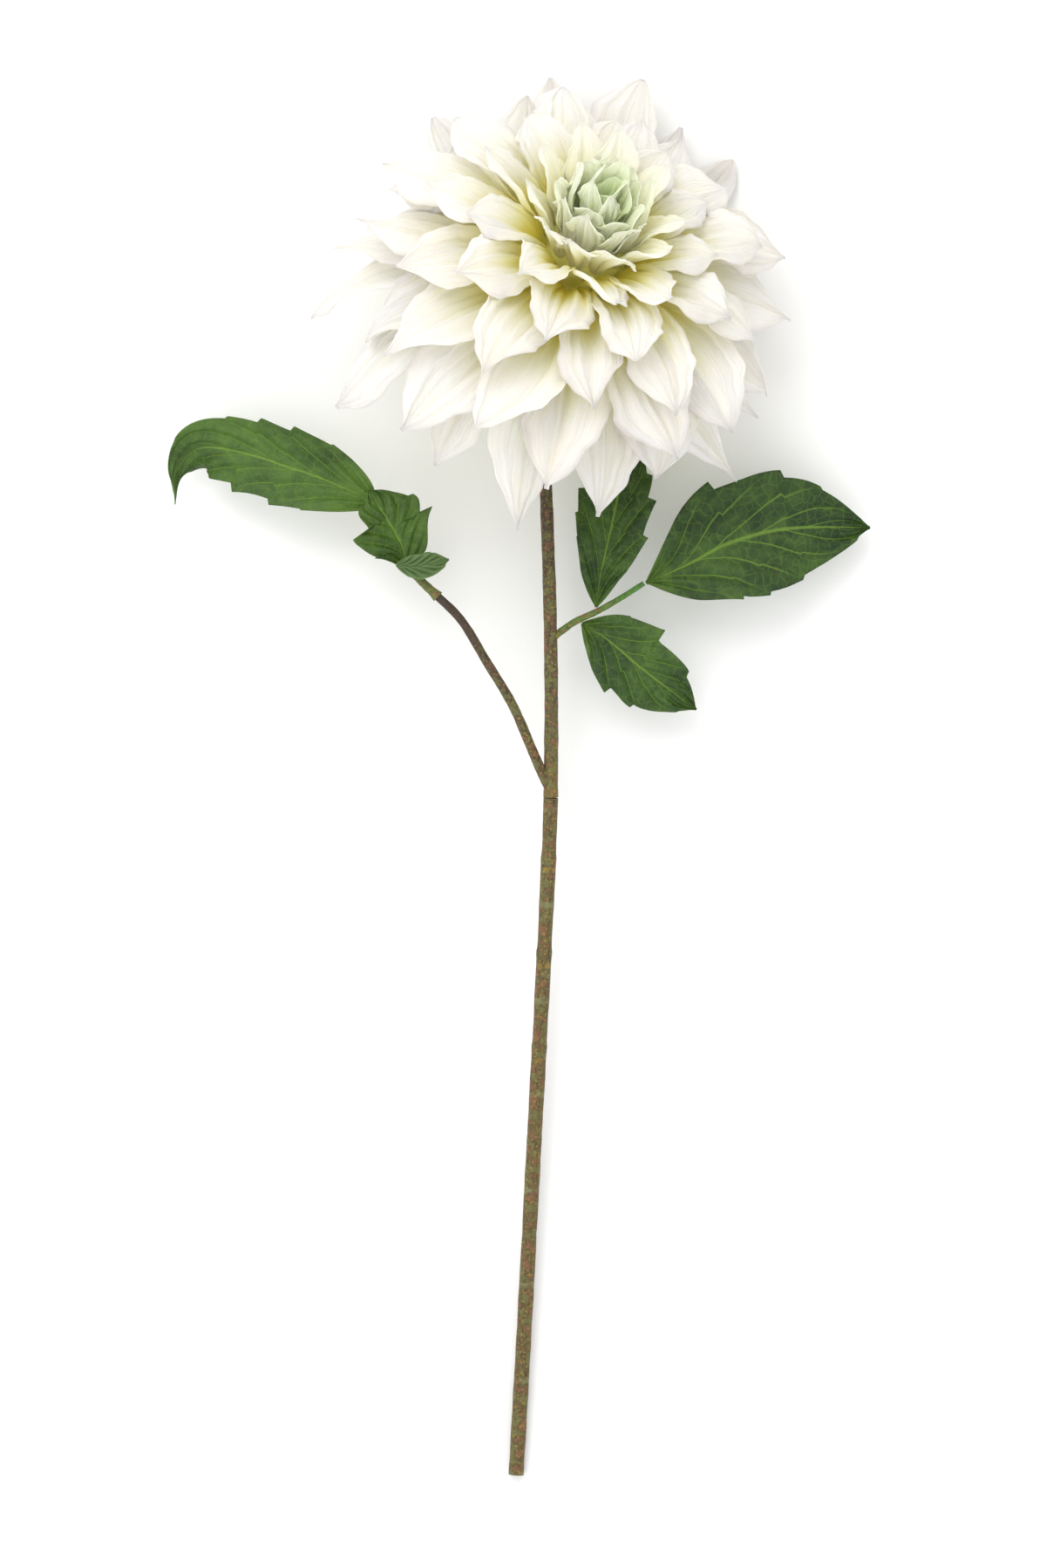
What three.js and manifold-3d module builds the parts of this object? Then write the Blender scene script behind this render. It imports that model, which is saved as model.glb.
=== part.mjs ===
// A cut dahlia lying on a table: a large reflexed bloom on a bent neck, a slim stem in two
// lengths, a side branch with a drooping leaf and, opposite it, a leaf of three leaflets.
// Millimetres, +Z up. The stem runs along +Y towards the bloom, which looks up and along the
// stem. The cut end and the lowest petals carry the weight on the plane z = 0.
import * as THREE from "three";
import { mergeVertices } from "three/addons/utils/BufferGeometryUtils.js";
import Module from "manifold-3d";

const wasm = await Module();
wasm.setup();

const radians = THREE.MathUtils.degToRad;
const vec = (x, y, z) => new THREE.Vector3(x, y, z);

// ---------------------------------------------------------------- driving dimensions

const GAP = 0.4; // between pieces that touch

// The bloom: where its receptacle sits and which way it looks.
const HEAD_CENTRE = vec(22.4, 218, 70);
const HEAD_AXIS = vec(0.27, 0.6, 0.75).normalize();
const RECEPTACLE_RADIUS = 22;
const PETAL_THICKNESS = 0.8;
const PETAL_STEPS = { across: 2, along: 6 };

// Petal rings, lowest first. seat is the angle from the bloom's axis to where the petals
// stand on the receptacle, from and to are the angles they set off at and end at, and rest
// is the height above the table that the underside petals of the ring are pressed to.
const RINGS = [
  { count: 12, seat: 118, length: 92, width: 28, from: 98, to: 158, rest: 3.6 },
  { count: 10, seat: 105, length: 86, width: 34, from: 87, to: 148, rest: 10 },
  { count: 10, seat: 92, length: 78, width: 33, from: 75, to: 134, rest: 17 },
  { count: 10, seat: 79, length: 69, width: 28, from: 61, to: 118, rest: 22 },
  { count: 10, seat: 66, length: 57, width: 29, from: 48, to: 100, rest: 28, joined: true },
  { count: 10, seat: 54, length: 45, width: 24, from: 37, to: 82, rest: 30, joined: true },
  { count: 10, seat: 44, length: 38, width: 19, from: 20, to: 54, rest: 30, joined: true },
  { count: 9, seat: 34, length: 33, width: 16, from: 8, to: 26, rest: 30, joined: true },
];
const FIRST_AZIMUTH = 8;
const RING_TURN = 17.5; // how far each ring is turned past the one below it
const PRESS_ZONE = 16; // height over which a petal eases onto the table
const BAND_HALF_ANGLE = 4; // half the width of the band under a joined ring, in degrees

// How much one petal differs from the next: degrees, and a share of its length.
const PETAL_VARIATION = { turn: 3, length: 0.1, lift: 3.5, twist: 10 };

// A petal's form: its seat's share of the widest width, where it is widest, how soon it closes
// to its tip, how late it bends, and how deeply its section is cupped at the seat and the tip.
const PETAL_FORM = { seat: 0.34, widest: 0.56, closing: 1.25, bending: 1.3, cup: 0.95, tipCup: 0.35 };
const CUP_RUN = 0.625; // share of a petal's length over which its cup flattens

const BUD = { radius: 10, height: 26, folds: 9, foldDepth: 0.07 };
const CALYX = { wall: 2.2, depth: 8, collar: 5.4, collarHeight: 6, collarFlare: 1 };
const BRACTS = {
  count: 5,
  first: 20, // azimuth of the first
  seat: 138, // angle from the bloom's axis to where a bract stands
  from: 128, // the angles it sets off at and ends at
  to: 162,
  length: 24,
  width: 13,
  widest: 0.4,
  thickness: 1,
  arc: 0.5,
};

// The stem, from the cut end to the neck under the bloom.
const LOWER_STEM = {
  route: [
    vec(-3, -300, 3.3),
    vec(1, -228, 6.6),
    vec(5, -152, 11.4),
    vec(8.6, -84, 17),
    vec(11.4, -24, 22.5),
    vec(12, -6, 24.2),
  ],
  from: 3.3,
  to: 3.2,
};
const NECK_LENGTH = 27; // straight run of the stem out of the calyx
const UPPER_STEM = {
  route: [
    vec(12, -6 + GAP, 24.2),
    vec(12.2, 37, 28.2),
    vec(11.6, 76, 31.6),
    vec(10.4, 113, 33.4),
    vec(9.4, 146, 33.4),
  ],
  from: 3.1,
  to: 2.5,
};
const BRANCH = {
  route: [
    vec(12, -3, 25),
    vec(9, 3, 26),
    vec(4, 14.5, 28.5),
    vec(-4.4, 33.8, 30.6),
    vec(-15.7, 52.7, 30.6),
    vec(-27, 71, 29.6),
    vec(-38, 82, 29),
  ],
  from: 2.2,
  to: 1.7,
};

// Leaf stalks and blades. face is the way a blade's upper side looks at its base, and twist
// turns it about its spine towards the tip.
const LEFT_STALK = {
  route: [vec(-38.4, 82.4, 29), vec(-45, 88.6, 29), vec(-55, 100, 29), vec(-66, 119, 29)],
  from: 1.9,
  to: 1.1,
};
const RIGHT_STALK = {
  route: [
    vec(12, 62.6, 30),
    vec(16, 65.4, 31),
    vec(22, 69.6, 32),
    vec(32.5, 74.6, 32),
    vec(43, 80.6, 31),
    vec(52, 86.4, 30),
  ],
  from: 1.6,
  to: 1.1,
};
const LEAF_THICKNESS = 0.8;
const LEAF_STEPS = { across: 2, along: 12 };
const LEAF_FORM = { wedge: 0.9, closing: 1.15, toothDepth: 0.1 };
const LEAFLETS = [
  {
    name: "left_terminal_leaflet",
    spine: [
      vec(-64, 121.6, 29.6),
      vec(-84, 130.5, 29),
      vec(-104, 137.5, 28),
      vec(-124, 143.5, 25),
      vec(-141, 144.5, 21),
      vec(-149.5, 135, 17.5),
      vec(-150.5, 121, 15),
    ],
    face: vec(0.1, 0.2, 1),
    twist: -58,
    width: 36,
    fold: 16,
    teeth: 7,
    widest: 0.42,
  },
  {
    name: "left_side_leaflet",
    spine: [
      vec(-50.5, 93, 31.8),
      vec(-51.5, 101, 34),
      vec(-56, 110, 35.4),
      vec(-61, 118, 35.8),
      vec(-66.4, 126.4, 35),
    ],
    face: vec(0.25, 0.1, 1),
    twist: 6,
    width: 38,
    fold: 14,
    teeth: 5,
    widest: 0.4,
  },
  {
    name: "left_folded_leaflet",
    spine: [
      vec(-54.5, 94, 38),
      vec(-47, 93.4, 38.8),
      vec(-39, 94.6, 38.2),
      vec(-31.8, 96.4, 37),
    ],
    face: vec(0, -0.25, 1),
    twist: 0,
    width: 12,
    fold: 8,
    teeth: 3,
    widest: 0.5,
  },
  {
    name: "right_terminal_leaflet",
    spine: [
      vec(53, 86.6, 30),
      vec(70, 94, 31),
      vec(88, 103.4, 30),
      vec(110, 109.6, 26),
      vec(131, 111, 20),
      vec(150.4, 111, 13),
    ],
    face: vec(-0.12, 0, 1),
    twist: 4,
    width: 56,
    fold: 12,
    teeth: 6,
    widest: 0.44,
  },
  {
    name: "right_upper_leaflet",
    spine: [
      vec(31.4, 76, 33.2),
      vec(33.4, 90, 34),
      vec(37, 106, 33),
      vec(40.4, 122, 29.6),
      vec(43, 140, 24),
      vec(44, 152, 19),
    ],
    face: vec(-0.05, -0.1, 1),
    twist: 0,
    width: 34,
    fold: 13,
    teeth: 6,
    widest: 0.55,
  },
  {
    name: "right_lower_leaflet",
    spine: [
      vec(25.4, 69.2, 30),
      vec(36.6, 62, 30),
      vec(49, 51.6, 28),
      vec(61, 42.4, 24),
      vec(75, 32.2, 18),
    ],
    face: vec(0.1, 0, 1),
    twist: 6,
    width: 36,
    fold: 13,
    teeth: 5,
    widest: 0.42,
  },
];

// ---------------------------------------------------------------- materials

const material = (color, roughness) =>
  new THREE.MeshStandardMaterial({ color, roughness, metalness: 0 });
const FINISH = {
  petal: material(0xf6f1e6, 0.7),
  innerPetal: material(0xf0f2cf, 0.7),
  bud: material(0xcfe6b0, 0.7),
  calyx: material(0x5f8a3c, 0.65),
  receptacle: material(0xd3c964, 0.65),
  leaf: material(0x3d7030, 0.6),
  stalk: material(0x64903f, 0.6),
  stem: material(0x75673f, 0.75),
  upperStem: material(0x6a5f45, 0.7),
};

// ---------------------------------------------------------------- shape helpers

// The closed solid of a geometry, for joining, and the geometry of a solid.
function solidOf(geometry) {
  const bare = geometry.clone();
  bare.deleteAttribute("normal");
  bare.deleteAttribute("uv");
  const merged = mergeVertices(bare, 1e-4);
  return new wasm.Manifold(
    new wasm.Mesh({
      numProp: 3,
      vertProperties: Float32Array.from(merged.attributes.position.array),
      triVerts: Uint32Array.from(merged.index.array),
    }),
  );
}

function geometryOf(solid) {
  const mesh = solid.getMesh();
  return new THREE.BufferGeometry()
    .setAttribute("position", new THREE.BufferAttribute(mesh.vertProperties, 3))
    .setIndex(new THREE.BufferAttribute(mesh.triVerts, 1));
}

const joined = (geometries) =>
  geometryOf(geometries.map(solidOf).reduce((sum, next) => sum.add(next)));
const cutBy = (geometry, cutter) => geometryOf(solidOf(geometry).subtract(solidOf(cutter)));

// Moves every vertex of a geometry to where place says.
function warp(geometry, place) {
  const position = geometry.attributes.position;
  const from = vec(0, 0, 0);
  for (let i = 0; i < position.count; i += 1) {
    const to = place(from.fromBufferAttribute(position, i));
    position.setXYZ(i, to.x, to.y, to.z);
  }
  geometry.computeVertexNormals();
  return geometry;
}

// A round rod along a route, its radius running from one end's to the other's.
function rod({ route, from, to }, sides = 10, steps = 14) {
  const curve = new THREE.CatmullRomCurve3(route);
  const frames = curve.computeFrenetFrames(steps, false);
  return warp(new THREE.CylinderGeometry(1, 1, 1, sides, steps), ({ x, y, z }) => {
    const ring = Math.round((y + 0.5) * steps);
    const radius = THREE.MathUtils.lerp(from, to, ring / steps);
    return curve
      .getPointAt(ring / steps)
      .addScaledVector(frames.normals[ring], radius * x)
      .addScaledVector(frames.binormals[ring], -radius * z);
  });
}

// A thin blade: a box whose length follows stations and whose section is a shallow arc. A
// station holds its point, the blade's side and upper directions there, its half width and
// the half angle of the arc.
function blade(stations, across, thickness) {
  const along = stations.length - 1;
  return warp(new THREE.BoxGeometry(2, 1, 1, across, 1, along), ({ x, y, z }) => {
    const { point, side, up, half, arc } = stations[Math.round((z + 0.5) * along)];
    const angle = arc * x;
    const normal = up.clone().multiplyScalar(Math.cos(angle)).addScaledVector(side, -Math.sin(angle));
    return point
      .clone()
      .addScaledVector(side, (half * Math.sin(angle)) / arc)
      .addScaledVector(up, (half * (1 - Math.cos(angle))) / arc)
      .addScaledVector(normal, thickness * y);
  });
}

// A number from -1 to 1 that is the same for the same seed, for nature's small differences.
function scatter(seed) {
  const wave = Math.sin(seed * 12.9898 + 4.1414) * 437.5853;
  return 2 * (wave - Math.floor(wave)) - 1;
}

// ---------------------------------------------------------------- the bloom

// The bloom's own directions: front faces down the stem and up, right faces +X.
const HEAD_FRONT = vec(0, -1, 0).addScaledVector(HEAD_AXIS, HEAD_AXIS.y).normalize();
const HEAD_RIGHT = HEAD_AXIS.clone().cross(HEAD_FRONT);

const outwards = (azimuth) =>
  HEAD_FRONT.clone().multiplyScalar(Math.cos(azimuth)).addScaledVector(HEAD_RIGHT, Math.sin(azimuth));

// The direction at an angle from the bloom's axis, leaning out along an outward direction.
const leaning = (angle, out) =>
  HEAD_AXIS.clone().multiplyScalar(Math.cos(angle)).addScaledVector(out, Math.sin(angle));

// The most that a petal may lean where it nears the table, so that it eases onto it.
function leanAllowed(out, height) {
  const reach = Math.hypot(HEAD_AXIS.z, out.z);
  const fall = Math.min(1, Math.max(0, height) / PRESS_ZONE);
  return Math.atan2(out.z, HEAD_AXIS.z) + Math.acos(-Math.min(1, fall / reach));
}

// How wide a petal is at t along it, as a share of its widest: narrow at its seat, widest
// past its middle, then closing to a point.
function petalShare(t, widest = PETAL_FORM.widest) {
  const { seat, closing } = PETAL_FORM;
  if (t < widest) return seat + (1 - seat) * Math.sin((Math.PI / 2) * (t / widest));
  return Math.cos((Math.PI / 2) * ((t - widest) / (1 - widest)) ** closing);
}

function petalGeometry(ring, ringNumber, index) {
  const seed = ringNumber * 31 + index * 7;
  const turn = FIRST_AZIMUTH + ringNumber * RING_TURN + PETAL_VARIATION.turn * scatter(seed);
  const azimuth = radians(turn + (360 * index) / ring.count);
  const out = outwards(azimuth);
  const side = HEAD_AXIS.clone().cross(out);
  const length = ring.length * (1 + PETAL_VARIATION.length * scatter(seed + 1));
  const lift = PETAL_VARIATION.lift * scatter(seed + 2);
  const twist = radians(PETAL_VARIATION.twist * scatter(seed + 3));
  const steps = PETAL_STEPS.along;
  const seat = RECEPTACLE_RADIUS + GAP + PETAL_THICKNESS;
  const point = HEAD_CENTRE.clone().addScaledVector(leaning(radians(ring.seat), out), seat);
  const stations = [];
  for (let step = 0; step <= steps; step += 1) {
    const t = step / steps;
    const bend = THREE.MathUtils.lerp(ring.from, ring.to, t ** PETAL_FORM.bending);
    const wanted = radians(bend + lift * t);
    const lean = Math.min(wanted, leanAllowed(out, point.z - ring.rest));
    const ahead = leaning(lean, out);
    const roll = twist * t;
    const up = ahead.clone().cross(side).applyAxisAngle(ahead, roll);
    stations.push({
      point: point.clone(),
      side: side.clone().applyAxisAngle(ahead, roll),
      up,
      half: Math.max(0.6, (ring.width / 2) * petalShare(t)),
      arc: THREE.MathUtils.lerp(PETAL_FORM.cup, PETAL_FORM.tipCup, Math.min(1, t / CUP_RUN)),
    });
    point.addScaledVector(ahead, length / steps);
  }
  return blade(stations, PETAL_STEPS.across, PETAL_THICKNESS);
}

// Turns a geometry made round +Z, with its origin at the receptacle's centre, into the head.
function inHead(geometry) {
  const basis = new THREE.Matrix4().makeBasis(HEAD_FRONT, HEAD_RIGHT, HEAD_AXIS);
  return geometry.applyMatrix4(basis.setPosition(HEAD_CENTRE));
}

// The band that carries the petals of a joined ring, just clear of the receptacle.
function petalBand(ring) {
  const inner = RECEPTACLE_RADIUS + GAP;
  const corner = (radius, angle) =>
    new THREE.Vector2(radius * Math.sin(radians(angle)), radius * Math.cos(radians(angle)));
  const outer = inner + 2 * PETAL_THICKNESS;
  const low = ring.seat + BAND_HALF_ANGLE;
  const high = ring.seat - BAND_HALF_ANGLE;
  const profile = [
    corner(inner, low),
    corner(outer, low),
    corner(outer, high),
    corner(inner, high),
  ];
  return inHead(new THREE.LatheGeometry([...profile, profile[0]], 16).rotateX(Math.PI / 2));
}

function budGeometry() {
  const ball = new THREE.SphereGeometry(1, 14, 7).rotateX(Math.PI / 2);
  const base = RECEPTACLE_RADIUS + GAP;
  return inHead(
    warp(ball, ({ x, y, z }) => {
      const fold = 1 + BUD.foldDepth * Math.cos(BUD.folds * Math.atan2(y, x)) * (1 - z * z);
      const radius = BUD.radius * fold;
      return vec(radius * x, radius * y, base + (BUD.height / 2) * (z + 1));
    }),
  );
}

function calyxGeometry() {
  const inner = RECEPTACLE_RADIUS + GAP;
  const outer = inner + CALYX.wall;
  const wall = (radius, angles) =>
    angles.map((a) => new THREE.Vector2(radius * Math.sin(radians(a)), -radius * Math.cos(radians(a))));
  const foot = -(outer + CALYX.depth);
  const profile = [
    new THREE.Vector2(0, foot),
    new THREE.Vector2(CALYX.collar, foot),
    new THREE.Vector2(CALYX.collar + CALYX.collarFlare, foot + CALYX.collarHeight),
    ...wall(outer, [24, 36, 48]),
    ...wall(inner, [48, 36, 24, 12]),
    new THREE.Vector2(0, -inner),
  ];
  const cup = new THREE.LatheGeometry(profile, 16).rotateX(Math.PI / 2);
  const bracts = [];
  for (let index = 0; index < BRACTS.count; index += 1) {
    const out = outwards(radians(BRACTS.first + (360 * index) / BRACTS.count));
    const side = HEAD_AXIS.clone().cross(out);
    const seat = leaning(radians(BRACTS.seat), out);
    const point = HEAD_CENTRE.clone().addScaledVector(seat, inner + CALYX.wall / 2);
    const stations = [0, 0.2, 0.4, 0.6, 0.8, 1].map((t) => {
      const ahead = leaning(radians(THREE.MathUtils.lerp(BRACTS.from, BRACTS.to, t)), out);
      const station = {
        point: point.clone(),
        side,
        up: ahead.clone().cross(side),
        half: Math.max(0.7, (BRACTS.width / 2) * petalShare(t, BRACTS.widest)),
        arc: BRACTS.arc,
      };
      point.addScaledVector(ahead, BRACTS.length / 5);
      return station;
    });
    bracts.push(blade(stations, 2, BRACTS.thickness));
  }
  return joined([inHead(cup), ...bracts]);
}

// ---------------------------------------------------------------- the leaves

// How wide a leaflet is at t, as a share of its widest, with teeth that point forwards.
function leafShare(t, { widest, teeth }) {
  const body = t < widest
    ? Math.sin((Math.PI / 2) * (t / widest)) ** LEAF_FORM.wedge
    : Math.cos((Math.PI / 2) * ((t - widest) / (1 - widest)) ** LEAF_FORM.closing);
  const tooth = (t * teeth) % 1;
  return body * (1 - LEAF_FORM.toothDepth * (1 - tooth));
}

function leafletGeometry(leaflet) {
  const spine = new THREE.CatmullRomCurve3(leaflet.spine);
  const stations = [];
  for (let step = 0; step <= LEAF_STEPS.along; step += 1) {
    const t = step / LEAF_STEPS.along;
    const ahead = spine.getTangentAt(t);
    const up = leaflet.face.clone().projectOnPlane(ahead).normalize();
    up.applyAxisAngle(ahead, radians(leaflet.twist) * t);
    stations.push({
      point: spine.getPointAt(t),
      side: up.clone().cross(ahead),
      up,
      half: Math.max(0.7, (leaflet.width / 2) * leafShare(t, leaflet)),
      arc: radians(leaflet.fold),
    });
  }
  return blade(stations, LEAF_STEPS.across, LEAF_THICKNESS);
}

// ---------------------------------------------------------------- assembly

const dahlia = new THREE.Group();

function add(name, geometry, finish) {
  const mesh = new THREE.Mesh(geometry, finish);
  mesh.name = name;
  dahlia.add(mesh);
}

RINGS.forEach((ring, ringNumber) => {
  const petals = Array.from({ length: ring.count }, (_, index) =>
    petalGeometry(ring, ringNumber, index),
  );
  if (ring.joined) {
    add(`petal_whorl_${ringNumber + 1}`, joined([petalBand(ring), ...petals]), FINISH.innerPetal);
    return;
  }
  petals.forEach((petal, index) => add(`petal_${ringNumber + 1}_${index + 1}`, petal, FINISH.petal));
});

const receptacle = new THREE.SphereGeometry(RECEPTACLE_RADIUS, 16, 10);
add("receptacle", inHead(receptacle.rotateX(Math.PI / 2)), FINISH.receptacle);
add("centre_bud", budGeometry(), FINISH.bud);
add("calyx", calyxGeometry(), FINISH.calyx);

// The neck leaves the calyx along the bloom's axis and bends into the stem.
const neckTop = HEAD_CENTRE.clone().addScaledVector(
  HEAD_AXIS,
  -(RECEPTACLE_RADIUS + CALYX.wall + CALYX.depth + 2 * GAP),
);
const neckBend = neckTop.clone().addScaledVector(HEAD_AXIS, -NECK_LENGTH / 3);
const upperStem = { ...UPPER_STEM, route: [...UPPER_STEM.route, neckBend, neckTop] };
add("lower_stem", rod(LOWER_STEM, 12, 12), FINISH.stem);
add("upper_stem", rod(upperStem, 12, 20), FINISH.upperStem);

// The branch and the right leaf's stalk start inside the stem and are cut back to its skin.
const stemRoom = rod({ ...upperStem, from: upperStem.from + GAP, to: upperStem.to + GAP }, 12, 20);
add("side_branch", cutBy(rod(BRANCH, 10, 10), stemRoom), FINISH.upperStem);
add("left_leaf_stalk", rod(LEFT_STALK, 8, 6), FINISH.stalk);
add("right_leaf_stalk", cutBy(rod(RIGHT_STALK, 8, 6), stemRoom), FINISH.stalk);
LEAFLETS.forEach((leaflet) => add(leaflet.name, leafletGeometry(leaflet), FINISH.leaf));

// The origin is under the middle of the whole flower, on the table.
const box = new THREE.Box3().setFromObject(dahlia);
const middle = box.getCenter(vec(0, 0, 0));
dahlia.position.set(-middle.x, -middle.y, -box.min.z);

export default dahlia;
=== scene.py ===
"""The looks of an artificial cut dahlia, lying down, built round its CAD frame.

Shapes are worked out in millimetres in the flower's own drawing space, where the stem runs along
+Y, and are moved into the frame, in metres, when a mesh is written.
"""
import logging
import math
from collections.abc import Callable, Sequence
from dataclasses import dataclass, field
from enum import Enum

import bpy
import numpy as np
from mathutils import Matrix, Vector


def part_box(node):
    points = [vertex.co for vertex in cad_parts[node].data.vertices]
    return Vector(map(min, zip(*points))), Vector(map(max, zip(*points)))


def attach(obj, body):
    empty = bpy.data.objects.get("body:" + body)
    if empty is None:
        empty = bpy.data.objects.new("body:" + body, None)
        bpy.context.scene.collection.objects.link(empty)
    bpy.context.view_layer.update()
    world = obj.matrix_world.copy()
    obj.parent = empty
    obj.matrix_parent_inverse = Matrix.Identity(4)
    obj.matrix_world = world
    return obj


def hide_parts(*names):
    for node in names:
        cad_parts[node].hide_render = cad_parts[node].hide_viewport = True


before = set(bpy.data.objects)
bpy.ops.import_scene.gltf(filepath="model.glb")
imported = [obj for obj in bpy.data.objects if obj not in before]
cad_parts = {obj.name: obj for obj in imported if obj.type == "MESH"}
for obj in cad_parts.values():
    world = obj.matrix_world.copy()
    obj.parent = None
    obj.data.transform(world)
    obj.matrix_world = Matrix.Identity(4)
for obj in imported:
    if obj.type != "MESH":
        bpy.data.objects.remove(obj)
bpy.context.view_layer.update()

LOG = logging.getLogger("dahlia")
MM = 0.001
BODY = "root"
TABLE_CLEARANCE = 0.0002
SMOOTH_BELOW = math.radians(50)
SKEW = (0.3, 0.2, 1.0)  # a direction that no stem or stalk starts along

# The bloom, in millimetres and degrees, as the frame has it.
HEAD_CENTRE = np.array((22.4, 218.0, 70.0))
HEAD_AXIS = np.array((0.27, 0.6, 0.75)) / np.linalg.norm((0.27, 0.6, 0.75))
RECEPTACLE_RADIUS = 22.0
GAP = 0.4
CALYX_WALL = 2.2
CALYX_DEPTH = 8.0
FIRST_AZIMUTH = 8.0
RING_TURN = 17.5
PRESS_ZONE = 16.0

# What the shapes of the stem and the leaves share with their materials.
SCAR_SPACING = 41.3
SIDE_VEINS = 5.0
VEIN_SLANT = 0.5
VEIN_CURVE = 0.8

LOW, HIGH = (np.array(corner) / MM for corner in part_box("receptacle"))
SHIFT = (LOW + HIGH) / 2 - HEAD_CENTRE

Surface = Callable[[np.ndarray, np.ndarray], np.ndarray]


# ------------------------------------------------------------------ small maths


def scatter(seed: float) -> float:
    """A number from -1 to 1 that is always the same for the same seed."""
    wave = math.sin(seed * 12.9898 + 4.1414) * 437.5853
    return 2 * (wave - math.floor(wave)) - 1


def unit(vector: np.ndarray) -> np.ndarray:
    """The vector at length one."""
    return vector / np.linalg.norm(vector)


def turned(vector: np.ndarray, axis: np.ndarray, angle: float) -> np.ndarray:
    """Turns a vector about an axis.

    Args:
        vector: The vector.
        axis: The axis, of length one.
        angle: The angle in radians.

    Returns:
        The turned vector.
    """
    return (
        vector * math.cos(angle)
        + np.cross(axis, vector) * math.sin(angle)
        + axis * np.dot(axis, vector) * (1 - math.cos(angle))
    )


def lerp(start: float, end: float, t: float | np.ndarray) -> float | np.ndarray:
    """The value t of the way from start to end."""
    return start + (end - start) * t


def bump(x: np.ndarray, middle: float, width: float) -> np.ndarray:
    """A smooth hill of height one round middle."""
    return np.exp(-(((x - middle) / width) ** 2))


def smooth_route(points: Sequence[Sequence[float]], samples: int) -> np.ndarray:
    """Evenly spaced points along a centripetal Catmull-Rom curve.

    Args:
        points: The points that the curve passes through.
        samples: How many even points to give back.

    Returns:
        An array of samples rows of three.
    """
    knots = [np.array(point, dtype=float) for point in points]
    knots = [2 * knots[0] - knots[1], *knots, 2 * knots[-1] - knots[-2]]
    dense = []
    for a, b, c, d in zip(knots, knots[1:], knots[2:], knots[3:]):
        ta = 0.0
        tb = ta + math.sqrt(np.linalg.norm(b - a))
        tc = tb + math.sqrt(np.linalg.norm(c - b))
        td = tc + math.sqrt(np.linalg.norm(d - c))
        for t in np.linspace(tb, tc, 24, endpoint=False):
            ab = (tb - t) / (tb - ta) * a + (t - ta) / (tb - ta) * b
            bc = (tc - t) / (tc - tb) * b + (t - tb) / (tc - tb) * c
            cd = (td - t) / (td - tc) * c + (t - tc) / (td - tc) * d
            abc = (tc - t) / (tc - ta) * ab + (t - ta) / (tc - ta) * bc
            bcd = (td - t) / (td - tb) * bc + (t - tb) / (td - tb) * cd
            dense.append((tc - t) / (tc - tb) * abc + (t - tb) / (tc - tb) * bcd)
    dense.append(knots[-2])
    path = np.array(dense)
    run = np.concatenate(([0], np.cumsum(np.linalg.norm(np.diff(path, axis=0), axis=1))))
    even = np.linspace(0, run[-1], samples)
    return np.stack([np.interp(even, run, path[:, k]) for k in range(3)], axis=1)


def tangents(path: np.ndarray) -> np.ndarray:
    """The unit direction of a path at each of its points."""
    ahead = np.gradient(path, axis=0)
    return ahead / np.linalg.norm(ahead, axis=1, keepdims=True)


# ------------------------------------------------------------------ shader maths


class Socket:
    """A node's output that adds Math nodes when it is used in an expression."""

    def __init__(self, paint: "Paint", socket: bpy.types.NodeSocket) -> None:
        """Wraps an output socket of a paint's node tree."""
        self.paint = paint
        self.socket = socket

    def _math(self, operation: str, first: object, second: object) -> "Socket":
        """One Math node with two inputs."""
        return self.paint.node("ShaderNodeMath", {"operation": operation}, {0: first, 1: second})

    def __add__(self, other: object) -> "Socket":
        """self + other."""
        return self._math("ADD", self, other)

    __radd__ = __add__

    def __sub__(self, other: object) -> "Socket":
        """self - other."""
        return self._math("SUBTRACT", self, other)

    def __rsub__(self, other: object) -> "Socket":
        """other - self."""
        return self._math("SUBTRACT", other, self)

    def __mul__(self, other: object) -> "Socket":
        """self * other."""
        return self._math("MULTIPLY", self, other)

    __rmul__ = __mul__

    def __pow__(self, other: object) -> "Socket":
        """self ** other."""
        return self._math("POWER", self, other)

    def __abs__(self) -> "Socket":
        """The size of the value."""
        return self._math("ABSOLUTE", self, 0.0)

    def fraction(self) -> "Socket":
        """What is left past the whole number below."""
        return self._math("FRACT", self, 0.0)

    def over(self, level: float) -> "Socket":
        """One where the value is above a level, and zero elsewhere."""
        return self._math("GREATER_THAN", self, level)

    def ramp(self, low: float, high: float) -> "Socket":
        """A smooth rise from zero to one.

        Args:
            low: The value where it starts to rise.
            high: The value where it has risen.

        Returns:
            The rise.
        """
        return self.paint.node(
            "ShaderNodeMapRange",
            {"interpolation_type": "SMOOTHSTEP", "clamp": True},
            {"Value": self, "From Min": low, "From Max": high},
        )

    def fall(self, low: float, high: float) -> "Socket":
        """A smooth fall from one at low to zero at high."""
        return 1.0 - self.ramp(low, high)


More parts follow.
